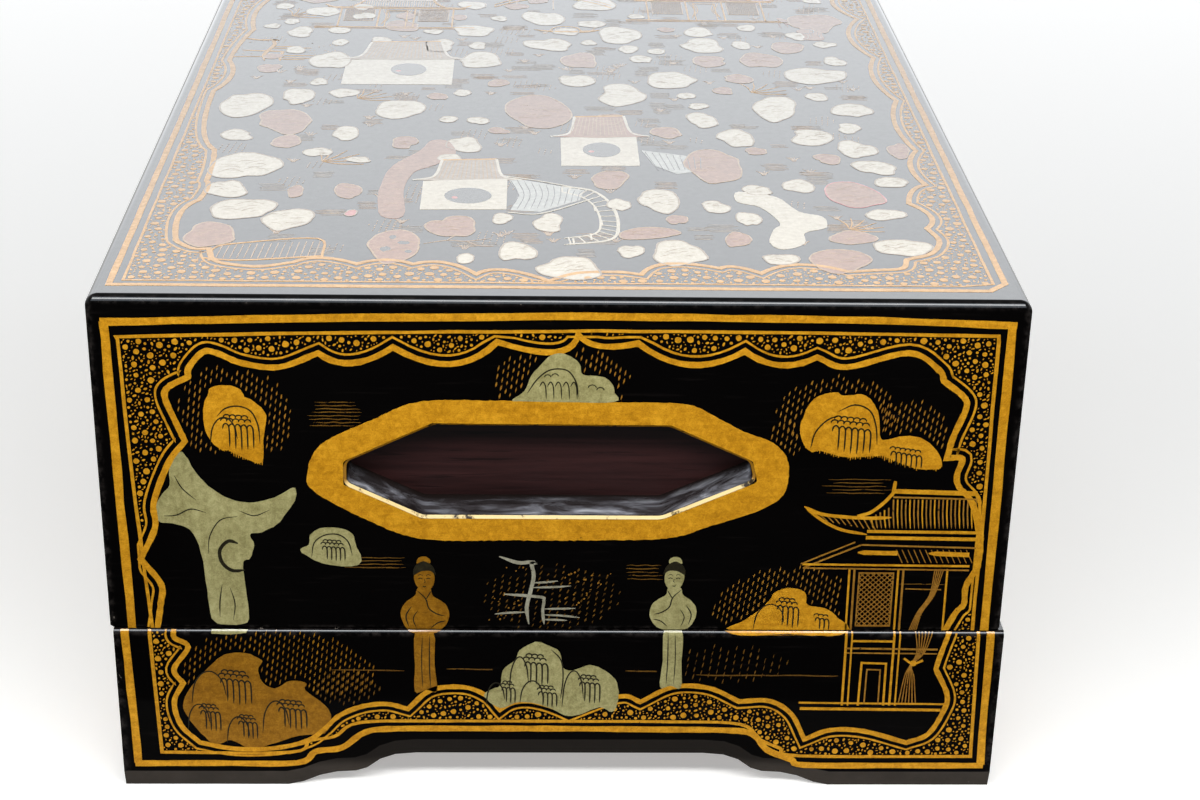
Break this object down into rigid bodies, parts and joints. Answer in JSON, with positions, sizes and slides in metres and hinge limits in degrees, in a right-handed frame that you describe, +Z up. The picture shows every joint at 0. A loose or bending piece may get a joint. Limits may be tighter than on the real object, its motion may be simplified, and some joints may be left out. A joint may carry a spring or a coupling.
{
  "type": "mahjong case with drawers",
  "caption": "Two-tier black and gold lacquered mahjong case: a chest of tile drawers with hand holes, stacked on an open tray with bracket feet.",
  "frame": {"origin": "centre of the footprint, on the surface the case stands on", "axes": "+Z up; the short end with the hand hole that the picture shows faces -Y; the drawers open towards +X"},
  "size_m": [0.231, 0.346, 0.14],
  "materials": {
    "black_lacquer": "black lacquer on wood, polished, with gilt and green painted decoration",
    "red_brown_lacquer": "dark red-brown stained wood, satin",
    "inner_wood": "dark red-brown stained wood, satin",
    "gilt_decoration": "gold lacquer painting, satin, raised",
    "green_decoration": "sage green and gold lacquer painting, satin",
    "pale_decoration": "cream and salmon lacquer painting, satin",
    "brass_fittings": "aged brass, worn"
  },
  "bodies": {
    "base_tray": {"base_front_end_board": "black_lacquer", "base_rear_end_board": "black_lacquer", "base_left_side_board": "black_lacquer", "base_right_side_board": "black_lacquer", "base_pegs": "black_lacquer", "base_floor_board": "inner_wood", "base_corner_blocks": "inner_wood", "base_locating_strips": "inner_wood"},
    "upper_case": {"case_front_end_board": "black_lacquer", "case_rear_end_board": "black_lacquer", "case_back_side_board": "black_lacquer", "case_lower_rail": "black_lacquer", "case_bottom_board": "inner_wood", "case_top_board": "black_lacquer", "case_pegs": "black_lacquer", "front_grip_backing_panel": "red_brown_lacquer", "rear_grip_backing_panel": "red_brown_lacquer", "lower_shelf": "black_lacquer", "upper_shelf": "black_lacquer", "lower_drawer_divider": "black_lacquer", "middle_drawer_divider": "black_lacquer"},
    "drawer_low_near": {"drawer_low_near_front": "black_lacquer", "drawer_low_near_near_side": "inner_wood", "drawer_low_near_far_side": "inner_wood", "drawer_low_near_back": "inner_wood", "drawer_low_near_bottom": "inner_wood", "drawer_low_near_pull_mount": "brass_fittings"},
    "drawer_low_far": {"drawer_low_far_front": "black_lacquer", "drawer_low_far_near_side": "inner_wood", "drawer_low_far_far_side": "inner_wood", "drawer_low_far_back": "inner_wood", "drawer_low_far_bottom": "inner_wood", "drawer_low_far_pull_mount": "brass_fittings"},
    "drawer_mid_near": {"drawer_mid_near_front": "black_lacquer", "drawer_mid_near_near_side": "inner_wood", "drawer_mid_near_far_side": "inner_wood", "drawer_mid_near_back": "inner_wood", "drawer_mid_near_bottom": "inner_wood", "drawer_mid_near_pull_mount": "brass_fittings"},
    "drawer_mid_far": {"drawer_mid_far_front": "black_lacquer", "drawer_mid_far_near_side": "inner_wood", "drawer_mid_far_far_side": "inner_wood", "drawer_mid_far_back": "inner_wood", "drawer_mid_far_bottom": "inner_wood", "drawer_mid_far_pull_mount": "brass_fittings"},
    "drawer_wide": {"drawer_wide_front": "black_lacquer", "drawer_wide_near_side": "inner_wood", "drawer_wide_far_side": "inner_wood", "drawer_wide_back": "inner_wood", "drawer_wide_bottom": "inner_wood", "drawer_wide_pull_mount": "brass_fittings", "drawer_wide_dividers": "inner_wood"},
    "drawer_low_near_pull_ring": {"drawer_low_near_pull_ring": "brass_fittings"},
    "drawer_low_far_pull_ring": {"drawer_low_far_pull_ring": "brass_fittings"},
    "drawer_mid_near_pull_ring": {"drawer_mid_near_pull_ring": "brass_fittings"},
    "drawer_mid_far_pull_ring": {"drawer_mid_far_pull_ring": "brass_fittings"},
    "drawer_wide_pull_ring_near": {"drawer_wide_pull_ring_near": "brass_fittings"},
    "drawer_wide_pull_ring_far": {"drawer_wide_pull_ring_far": "brass_fittings"}
  },
  "joints": [
    {"name": "case_lift", "type": "slide", "parent": "base_tray", "child": "upper_case", "axis": [0, 0, 1], "range_m": [0, 0.1]},
    {"name": "drawer_low_near_slide", "type": "slide", "parent": "upper_case", "child": "drawer_low_near", "axis": [1, 0, 0], "range_m": [0, 0.15]},
    {"name": "drawer_low_far_slide", "type": "slide", "parent": "upper_case", "child": "drawer_low_far", "axis": [1, 0, 0], "range_m": [0, 0.15]},
    {"name": "drawer_mid_near_slide", "type": "slide", "parent": "upper_case", "child": "drawer_mid_near", "axis": [1, 0, 0], "range_m": [0, 0.15]},
    {"name": "drawer_mid_far_slide", "type": "slide", "parent": "upper_case", "child": "drawer_mid_far", "axis": [1, 0, 0], "range_m": [0, 0.15]},
    {"name": "drawer_wide_slide", "type": "slide", "parent": "upper_case", "child": "drawer_wide", "axis": [1, 0, 0], "range_m": [0, 0.15]},
    {"name": "drawer_low_near_ring_swing", "type": "hinge", "parent": "drawer_low_near", "child": "drawer_low_near_pull_ring", "pos_m": [0.11075, -0.0785, 0.0716], "axis": [0, -1, 0], "range_deg": [0, 100]},
    {"name": "drawer_low_far_ring_swing", "type": "hinge", "parent": "drawer_low_far", "child": "drawer_low_far_pull_ring", "pos_m": [0.11075, 0.0805, 0.0716], "axis": [0, -1, 0], "range_deg": [0, 100]},
    {"name": "drawer_mid_near_ring_swing", "type": "hinge", "parent": "drawer_mid_near", "child": "drawer_mid_near_pull_ring", "pos_m": [0.11075, -0.0785, 0.0971], "axis": [0, -1, 0], "range_deg": [0, 100]},
    {"name": "drawer_mid_far_ring_swing", "type": "hinge", "parent": "drawer_mid_far", "child": "drawer_mid_far_pull_ring", "pos_m": [0.11075, 0.0805, 0.0971], "axis": [0, -1, 0], "range_deg": [0, 100]},
    {"name": "drawer_wide_ring_swing_near", "type": "hinge", "parent": "drawer_wide", "child": "drawer_wide_pull_ring_near", "pos_m": [0.11075, -0.0785, 0.1226], "axis": [0, -1, 0], "range_deg": [0, 100]},
    {"name": "drawer_wide_ring_swing_far", "type": "hinge", "parent": "drawer_wide", "child": "drawer_wide_pull_ring_far", "pos_m": [0.11075, 0.0805, 0.1226], "axis": [0, -1, 0], "range_deg": [0, 100]}
  ]
}
